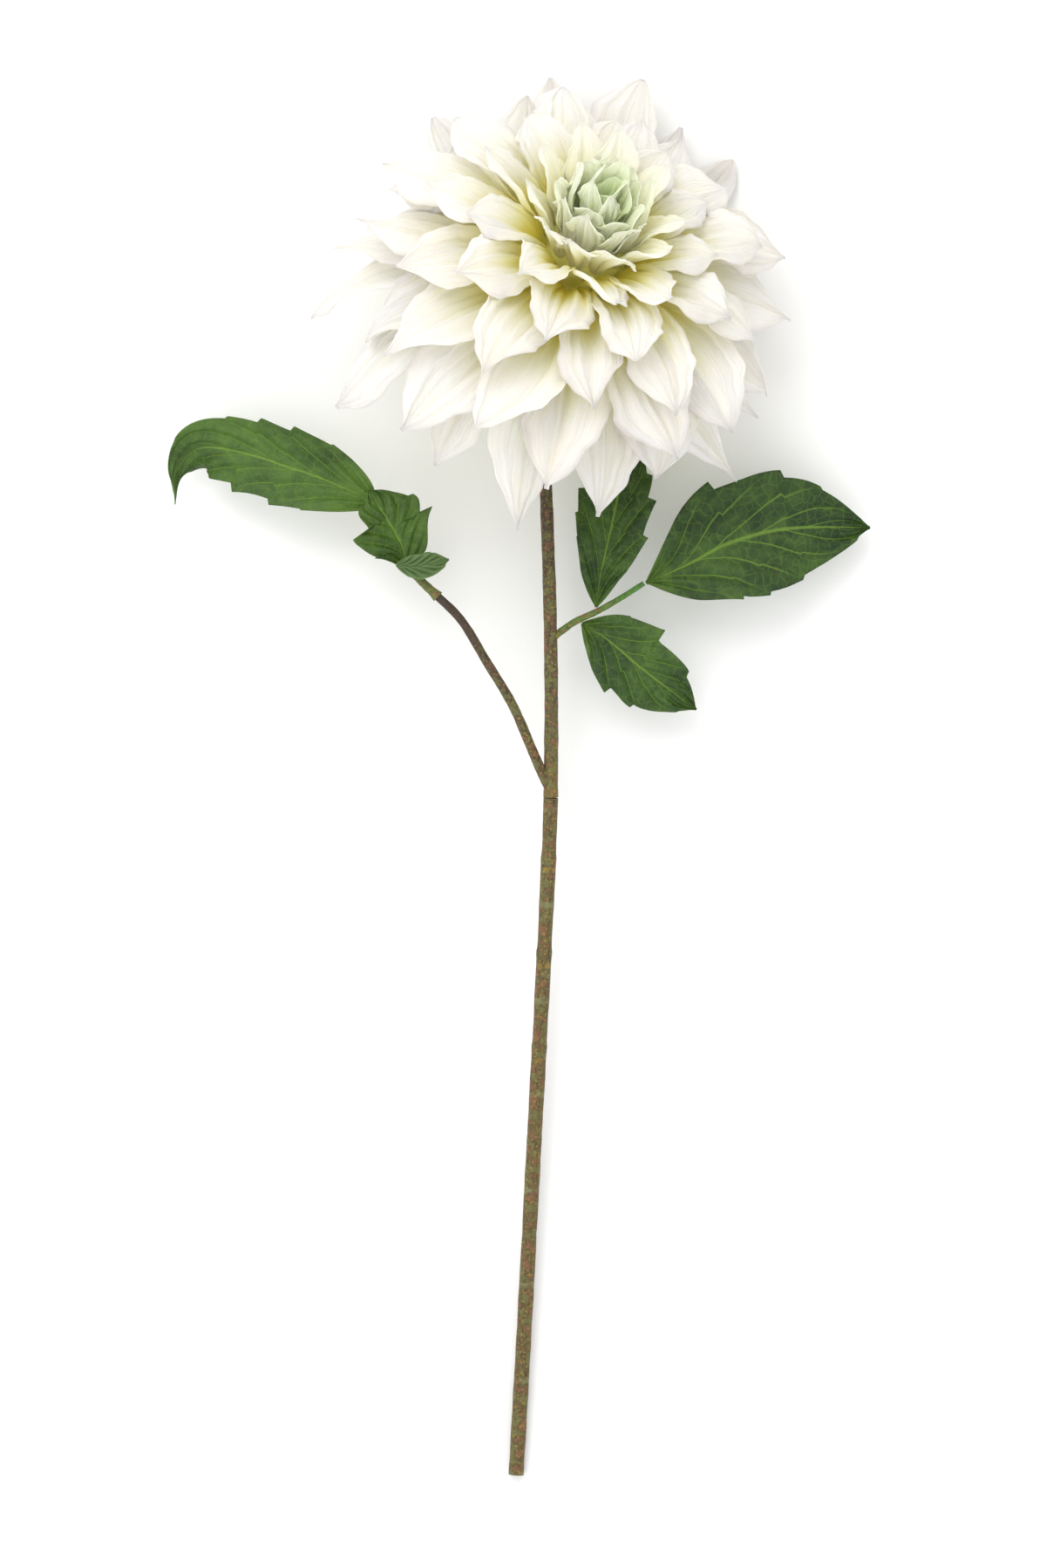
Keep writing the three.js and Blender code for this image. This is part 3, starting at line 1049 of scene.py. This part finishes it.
    def build(self) -> None:
        """Makes every petal of the head."""
        for number, ring in enumerate(self.separate):
            for index in range(ring.count):
                node = f"petal_{number + 1}_{index + 1}"
                settle(self.petal(f"fine_{node}", ring, number, index), [node], self.coat)
        for place, ring in enumerate(self.joined):
            number = place + len(self.separate)
            node = f"petal_whorl_{number + 1}"
            petals = [self.petal(f"{node}_{i}", ring, number, i) for i in range(ring.count)]
            settle(merged(f"fine_{node}", petals), [node], self.coat)
        petals = []
        for place, ring in enumerate(self.heart):
            number = place + len(self.separate) + len(self.joined)
            petals += [self.petal(f"heart_{number}_{i}", ring, number, i) for i in range(ring.count)]
        settle(merged("fine_centre", petals), ["centre_bud"], self.coat)


@dataclass
class Calyx:
    """The green cup behind the bloom with its bracts, and the dressing of the receptacle.

    Lengths are in millimetres and angles, taken from the bloom's axis, in degrees.

    Attributes:
        coat: The material of the cup and its bracts.
        base_coat: The material of the receptacle.
        collar: The cup's radius at its foot.
        flare: How much wider the collar gets towards the rim.
        rim_angle: Where the cup's rim meets its ball.
        foot_ease: How far the foot's edge is drawn in, as a share.
        count: How many bracts.
        first: Where the first bract stands round the axis.
        seat: Where the bracts stand on the cup.
        start: Their lean at the seat.
        end: Their lean at the tip.
        length: How long they are.
        width: How wide they are.
        widest: Where they are widest, as a share of the length.
        stand: How far out from the receptacle they start.
        thick: How thick they are.
        columns: Their faces across.
        rows: Their faces along.
    """

    coat: bpy.types.Material
    base_coat: bpy.types.Material
    collar: float = 5.4
    flare: float = 1.2
    rim_angle: float = 48.0
    foot_ease: float = 0.12
    count: int = 5
    first: float = 20.0
    seat: float = 138.0
    start: float = 128.0
    end: float = 162.0
    length: float = 24.0
    width: float = 13.0
    widest: float = 0.4
    stand: float = 1.1
    thick: float = 0.9
    columns: int = 12
    rows: int = 20

    def cup(self) -> bpy.types.Object:
        """The round cup under the receptacle.

        Returns:
            The cup.
        """
        outer = RECEPTACLE_RADIUS + GAP + CALYX_WALL
        rim = outer * math.cos(math.radians(self.rim_angle))
        foot = outer + CALYX_DEPTH
        route = [HEAD_CENTRE - HEAD_AXIS * lerp(foot, rim, t) for t in (0, 0.33, 0.67, 1)]

        def radius(t: np.ndarray) -> np.ndarray:
            """The cup's radius from its foot to its rim.

            Args:
                t: Shares of the way from foot to rim.

            Returns:
                The radius for each share.
            """
            ball = np.sqrt(np.maximum(0, outer**2 - lerp(foot, rim, t) ** 2))
            return np.maximum(self.collar + self.flare * t, ball) * (1 - self.foot_ease * bump(t, 0, 0.03))

        return rod("cup", route, radius, 40, 24)

    def bract(self, index: int) -> bpy.types.Object:
        """One bract.

        Args:
            index: Which bract, counted round the axis.

        Returns:
            The bract.
        """
        out = outwards(math.radians(self.first + 360 * index / self.count))
        side = np.cross(HEAD_AXIS, out)
        seat = RECEPTACLE_RADIUS + GAP + self.stand
        point = HEAD_CENTRE + leaning(math.radians(self.seat), out) * seat
        spine, ups = [], []
        for step in range(self.rows + 1):
            ahead = leaning(math.radians(lerp(self.start, self.end, step / self.rows)), out)
            spine.append(point)
            ups.append(np.cross(ahead, side))
            point = point + ahead * self.length / self.rows
        path, over = np.array(spine), np.array(ups)

        def surface(u: np.ndarray, t: np.ndarray) -> np.ndarray:
            """The bract's inner face.

            Args:
                u: The place across, from -1 to 1.
                t: The share of the length, from 0 to 1.

            Returns:
                Drawing-space points.
            """
            row = np.rint(t * self.rows).astype(int)
            rise = 0.5 + 0.5 * np.sin(np.pi * t / (2 * self.widest))
            close = np.clip((t - self.widest) / (1 - self.widest), 0, 1)
            outline = np.where(t < self.widest, rise, np.cos(np.pi / 2 * close))
            half = np.maximum(0.3, self.width / 2 * outline)
            dish = half * 0.25 * u**2 - 0.4 * bump(u, 0, 0.15)
            return path[row] + side * (half * u)[:, None] + over[row] * dish[:, None]

        return blade(f"bract_{index}", self.columns, self.rows, surface, self.thick)

    def build(self) -> None:
        """Makes the cup and its bracts as one piece, and dresses the receptacle."""
        parts = [self.cup(), *(self.bract(index) for index in range(self.count))]
        settle(merged("fine_calyx", parts), ["calyx"], self.coat)
        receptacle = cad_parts["receptacle"]
        receptacle.data.materials.clear()
        receptacle.data.materials.append(self.base_coat)


# ------------------------------------------------------------------ stems


@dataclass
class Stalk:
    """A round stem, branch or leaf stalk, in millimetres.

    Attributes:
        name: The piece's name.
        node: The CAD node that it stands for.
        slot: A name for a material slot; not used.
        route: The points that its centre line passes through.
        start: Its radius at the start.
        end: Its radius at the end.
        coat: Its material.
        sides: Its faces round.
        steps: Its faces along.
        swell: How much thicker its first end is, as a share.
        ripple: How uneven it is, as a share of the radius.
        stepped: Whether it thickens towards a ridge at each scar.
    """

    name: str
    node: str
    slot: str
    route: Sequence[Sequence[float]]
    start: float
    end: float
    coat: bpy.types.Material
    sides: int = 24
    steps: int = 120
    swell: float = 0.0
    ripple: float = 0.02
    stepped: bool = False

    def radius(self, t: np.ndarray) -> np.ndarray:
        """The radius along the stalk, with its ripples and, where it has them, its scars' ridges.

        Args:
            t: Shares of the length.

        Returns:
            The radius for each share.
        """
        size = lerp(self.start, self.end, t) * (1 + self.swell * bump(t, 0, 0.05))
        waves = np.sin(41 * t + self.start) + 0.8 * np.sin(97 * t + 2) + 0.6 * np.sin(173 * t)
        uneven = self.ripple * waves
        if self.stepped:
            length = float(np.linalg.norm(np.subtract(self.route[-1], self.route[0])))
            cycle = (t * length / SCAR_SPACING + 0.45) % 1
            uneven = uneven + 0.035 * (cycle - 0.5) + 0.05 * bump(cycle, 0.98, 0.03)
        return size * (1 + uneven)

    def build(self) -> None:
        """Makes the stalk."""
        piece = rod(self.name, self.route, self.radius, self.sides, self.steps)
        settle(piece, [self.node], self.coat)


# ------------------------------------------------------------------ leaves


@dataclass(frozen=True)
class LeafForm:
    """What all leaflets share, in millimetres and shares: teeth, the relief of the veins, waves."""

    thick: float = 0.35
    least_half: float = 0.35
    thin: float = 5.0
    closing: float = 1.15
    teeth_from: float = 0.16
    teeth_grow: float = 0.34
    other_side: float = 0.45
    tooth_curve: float = 1.4
    tooth_out: float = 0.19
    tooth_in: float = 0.11
    quilt: float = 0.75
    midrib: float = 0.55
    midrib_width: float = 0.06
    vein: float = 0.3
    vein_width: float = 0.1
    quick_wave: float = 1.6
    slow_wave: float = 1.1
    columns: int = 32
    rows: int = 96


@dataclass(frozen=True)
class Leaflet:
    """One leaf blade, in millimetres and degrees.

    Attributes:
        node: The CAD node that it stands for.
        spine: The points that its midrib passes through, from its base to its tip.
        face: The direction that its upper side faces at the base.
        twist: How far it turns about its midrib from base to tip.
        width: Its width.
        fold: How far it folds up along its midrib.
        teeth: How many teeth each side has.
        widest: Where it is widest, as a share of the length.
        wedge: How its base widens: the smaller, the rounder.
        turned_over: Whether it shows its underside.
        sunlit: How much painted light lightens its green, from 0 to 1.
        bite: How deep its teeth are, 1 being usual.
        form: What it shares with the other leaflets.
    """

    node: str
    spine: tuple[tuple[float, float, float], ...]
    face: tuple[float, float, float]
    twist: float
    width: float
    fold: float
    teeth: float
    widest: float
    wedge: float = 0.86
    turned_over: bool = False
    sunlit: float = 0.2
    bite: float = 1.0
    form: LeafForm = LeafForm()

    def half_width(self, u: np.ndarray, t: np.ndarray) -> np.ndarray:
        """Half the width, with teeth that point forwards and differ from side to side.

        Args:
            u: The place across, from -1 to 1.
            t: The share of the length, from 0 to 1.

        Returns:
            Half the width at each place.
        """
        form = self.form
        rise = np.sin(np.pi / 2 * np.minimum(t, self.widest) / self.widest) ** self.wedge
        close = np.clip((t - self.widest) / (1 - self.widest), 0, 1)
        body = np.where(t < self.widest, rise, np.cos(np.pi / 2 * close**form.closing))
        side = np.where(u > 0, 0.0, form.other_side)
        tooth = (t * self.teeth + 0.17 * np.sin(9 * t + 7 * side + self.width) + side) % 1
        depth = self.bite * (0.75 + 0.5 * np.sin(6.1 * t + 4 * side + self.width))
        grown = np.clip((t - form.teeth_from) / form.teeth_grow, 0, 1)
        cut = 0.96 + grown * depth * (form.tooth_out * tooth**form.tooth_curve - form.tooth_in)
        return np.maximum(form.least_half, self.width / 2 * body * cut)

    def midrib(self) -> Spine:
        """The leaflet's centre line, with the twist of its blade.

        Returns:
            The centre line.
        """
        path = smooth_route(self.spine, self.form.rows + 1)
        ahead = tangents(path)
        face = np.array(self.face)
        ups = []
        for step, forward in enumerate(ahead):
            up = unit(face - forward * np.dot(face, forward))
            ups.append(turned(up, forward, math.radians(self.twist) * step / self.form.rows))
        over = np.array(ups)
        return Spine(path, np.cross(over, ahead), over)

    def build(self, coat: bpy.types.Material) -> None:
        """Makes the leaflet.

        Args:
            coat: Its material.
        """
        form = self.form
        spine = self.midrib()

        def surface(u: np.ndarray, t: np.ndarray) -> np.ndarray:
            """The leaflet's upper face, sunk along its veins.

            Args:
                u: The place across, from -1 to 1.
                t: The share of the length, from 0 to 1.

            Returns:
                Drawing-space points.
            """
            half = self.half_width(u, t)
            off = np.abs(u)
            phase = ((t - off**VEIN_CURVE * VEIN_SLANT) * SIDE_VEINS + np.where(u > 0, 0.0, 0.5)) % 1
            vein = form.vein * (bump(phase, 0.5, form.vein_width) * (1 - off))
            quilt = np.cos(2 * np.pi * (phase - 0.5)) * -form.quilt * np.sin(np.pi * off)
            midrib = form.midrib * bump(u, 0, form.midrib_width)
            quick = form.quick_wave * off**2 * np.sin(11 * t + 2 * np.sign(u) + self.width)
            slow = form.slow_wave * off * np.sin(6.5 * t + 1.3 * np.sign(u) + 2 * self.width)
            high = (quilt - midrib - vein + (quick + slow)) * np.clip(half / form.thin, 0, 1)
            return spine.sheet(u, t, half, math.radians(self.fold), high)

        piece = blade(f"fine_{self.node}", form.columns, form.rows, surface, form.thick)
        # The leaflet's painted light goes to the material as its tint.
        store(piece, "tint", self.sunlit)
        if self.turned_over:
            store(piece, "under", 1.0)
        settle(piece, [self.node], coat)


LEAFLETS = (
    Leaflet(
        node="left_terminal_leaflet",
        spine=((-64, 121.6, 29.6), (-84, 130.5, 29), (-104, 137.5, 28), (-124, 143.5, 25),
               (-141, 144.5, 21), (-149.5, 135, 17.5), (-150.5, 121, 15)),
        face=(0.1, 0.2, 1), twist=-58, width=36, fold=16, teeth=7, widest=0.42, wedge=0.5, sunlit=0.6,
    ),
    Leaflet(
        node="left_side_leaflet",
        spine=((-50.5, 93, 31.8), (-51.5, 101, 34), (-56, 110, 35.4), (-61, 118, 35.8), (-66.4, 126.4, 35)),
        face=(0.25, 0.1, 1), twist=6, width=36, fold=14, teeth=3.4, widest=0.5, wedge=0.8, sunlit=0.7,
        bite=2.4,
    ),
    Leaflet(
        node="left_folded_leaflet",
        spine=((-54.5, 94, 38), (-47, 93.4, 38.8), (-39, 94.6, 38.2), (-31.8, 96.4, 37)),
        face=(0, -0.25, 1), twist=0, width=12, fold=8, teeth=3, widest=0.5, wedge=0.6, turned_over=True,
    ),
    Leaflet(
        node="right_terminal_leaflet",
        spine=((53, 86.6, 30), (70, 94, 31), (88, 103.4, 30), (110, 109.6, 26), (131, 111, 20),
               (150.4, 111, 13)),
        face=(-0.12, 0, 1), twist=4, width=56, fold=12, teeth=5, widest=0.44, wedge=0.95,
    ),
    Leaflet(
        node="right_upper_leaflet",
        spine=((31.4, 76, 33.2), (33.4, 90, 34), (37, 106, 33), (40.4, 122, 29.6), (43, 140, 24),
               (44, 152, 19)),
        face=(-0.05, -0.1, 1), twist=0, width=34, fold=13, teeth=6, widest=0.55, wedge=0.85,
    ),
    Leaflet(
        node="right_lower_leaflet",
        spine=((25.4, 69.2, 30), (36.6, 62, 30), (49, 51.6, 28), (61, 42.4, 24), (75, 32.2, 18)),
        face=(0.1, 0, 1), twist=6, width=36, fold=13, teeth=4, widest=0.42, wedge=0.8, sunlit=0.4,
        bite=1.4,
    ),
)


# ------------------------------------------------------------------ the studio


@dataclass(frozen=True)
class Lamp:
    """A square soft light, in metres and watts."""

    name: str
    at: tuple[float, float, float]
    size: float
    power: float


@dataclass
class Studio:
    """The floor, the lights and the camera, in metres but for the sensor."""

    height: float = 3.0
    view_length: float = 0.682
    sensor: float = 36.0
    floor_size: float = 12.0
    daylight: float = 1.1
    middle: Vector = field(default_factory=lambda: Vector((SHIFT[0] * MM, SHIFT[1] * MM, 0)))
    lamps: tuple[Lamp, ...] = (
        Lamp("key", (-0.6, 1.5, 2.1), 1.5, 22),
        Lamp("fill", (-1.2, -0.9, 2.2), 2.4, 12),
    )

    def floor(self) -> None:
        """The plain pale floor."""
        deselect()
        bpy.ops.mesh.primitive_plane_add(size=self.floor_size)
        plane = bpy.context.object
        plane.name = "floor"
        plane.data.materials.append(FloorFinish().make())

    def light(self, lamp: Lamp) -> None:
        """Sets up a light that looks at the flower.

        Args:
            lamp: Which light.
        """
        deselect()
        bpy.ops.object.light_add(type="AREA", location=lamp.at)
        piece = bpy.context.object
        piece.name = lamp.name
        piece.data.size = lamp.size
        piece.data.energy = lamp.power
        piece.rotation_euler = (self.middle - Vector(lamp.at)).to_track_quat("-Z", "Y").to_euler()

    def camera(self) -> None:
        """The camera, straight above the flower."""
        deselect()
        bpy.ops.object.camera_add(location=(self.middle.x, self.middle.y, self.height))
        camera = bpy.context.object
        camera.rotation_euler = (0, 0, 0)
        camera.data.sensor_width = self.sensor
        camera.data.lens = self.sensor * self.height / self.view_length
        bpy.context.scene.camera = camera

    def build(self) -> None:
        """Sets up the whole studio."""
        self.floor()
        for lamp in self.lamps:
            self.light(lamp)
        self.camera()
        world = bpy.data.worlds.new("studio")
        world.use_nodes = True
        sky = world.node_tree.nodes["Background"]
        sky.inputs["Color"].default_value = (1, 1, 1, 1)
        sky.inputs["Strength"].default_value = self.daylight
        bpy.context.scene.world = world
        bpy.context.scene.view_settings.view_transform = "Standard"


# ------------------------------------------------------------------ the flower


def stalks() -> list[Stalk]:
    """Every stem, branch and leaf stalk.

    Returns:
        The stalks, in the order in which they are made.
    """
    brown = StemFinish("lower_stem_bark", (0.095, 0.066, 0.02), (0.105, 0.074, 0.026))
    plum = StemFinish(
        "upper_stem_bark", (0.1, 0.083, 0.033), (0.03, 0.014, 0.016), ringed=0.0, bright_ends=0.15
    )
    twig = StemFinish("branch_bark", (0.085, 0.06, 0.025), (0.055, 0.035, 0.025), ringed=0.0)
    green = StemFinish("stalk_plastic", (0.1, 0.16, 0.04), (0.07, 0.2, 0.03), ringed=0.0)
    nub = StemFinish(
        "right_stalk_plastic", (0.09, 0.16, 0.035), (0.07, 0.2, 0.03), ringed=0.0, bright_ends=0.9
    )
    neck_top = HEAD_CENTRE - HEAD_AXIS * (RECEPTACLE_RADIUS + CALYX_WALL + CALYX_DEPTH + 2 * GAP)
    neck_bend = neck_top - HEAD_AXIS * 9.0
    lower = [
        (-3, -300, 3.3), (1, -228, 6.6), (5, -152, 11.4), (8.6, -84, 17), (11.4, -24, 22.5), (12, -6, 24.2),
    ]
    upper = [
        (12, -5.6, 24.2), (12.2, 37, 28.2), (11.6, 76, 31.6), (10.4, 113, 33.4), (9.4, 146, 33.4),
        neck_bend, neck_top,
    ]
    branch = [
        (12, -3, 25), (9, 3, 26), (4, 14.5, 28.5), (-4.4, 33.8, 30.6), (-15.7, 52.7, 30.6),
        (-27, 71, 29.6), (-38, 82, 29),
    ]
    left = [(-36.6, 80.6, 29.1), (-45, 88.6, 29), (-55, 100, 29), (-66, 119, 29)]
    right = [
        (12, 62.6, 30), (16, 65.4, 31), (22, 69.6, 32), (32.5, 74.6, 32), (43, 80.6, 31), (52, 86.4, 30),
    ]
    return [
        Stalk("fine_lower_stem", "lower_stem", "stem", lower, 3.3, 3.2, brown.make(),
              sides=28, steps=260, stepped=True),
        Stalk("fine_upper_stem", "upper_stem", "upper_stem", upper, 3.1, 2.5, plum.make(),
              sides=28, steps=200, swell=0.04),
        Stalk("fine_side_branch", "side_branch", "upper_stem", branch, 2.2, 1.8, twig.make()),
        Stalk("fine_left_stalk", "left_leaf_stalk", "leaf_stalk", left, 2.0, 1.1, green.make(),
              swell=0.25),
        Stalk("fine_right_stalk", "right_leaf_stalk", "leaf_stalk", right, 1.6, 1.1, nub.make(),
              swell=0.5),
    ]


def main() -> None:
    """Builds the studio and the flower, in order."""
    logging.basicConfig(level=logging.INFO, format="%(name)s %(message)s")
    Studio().build()
    Bloom(PetalFinish().make()).build()
    lime = CalyxFinish("receptacle_plastic", (0.6, 0.56, 0.08), (0.72, 0.7, 0.2))
    Calyx(CalyxFinish().make(), lime.make()).build()
    for stalk in stalks():
        stalk.build()
    leaf = LeafFinish().make()
    for leaflet in LEAFLETS:
        leaflet.build(leaf)


if __name__ == "__main__":
    main()
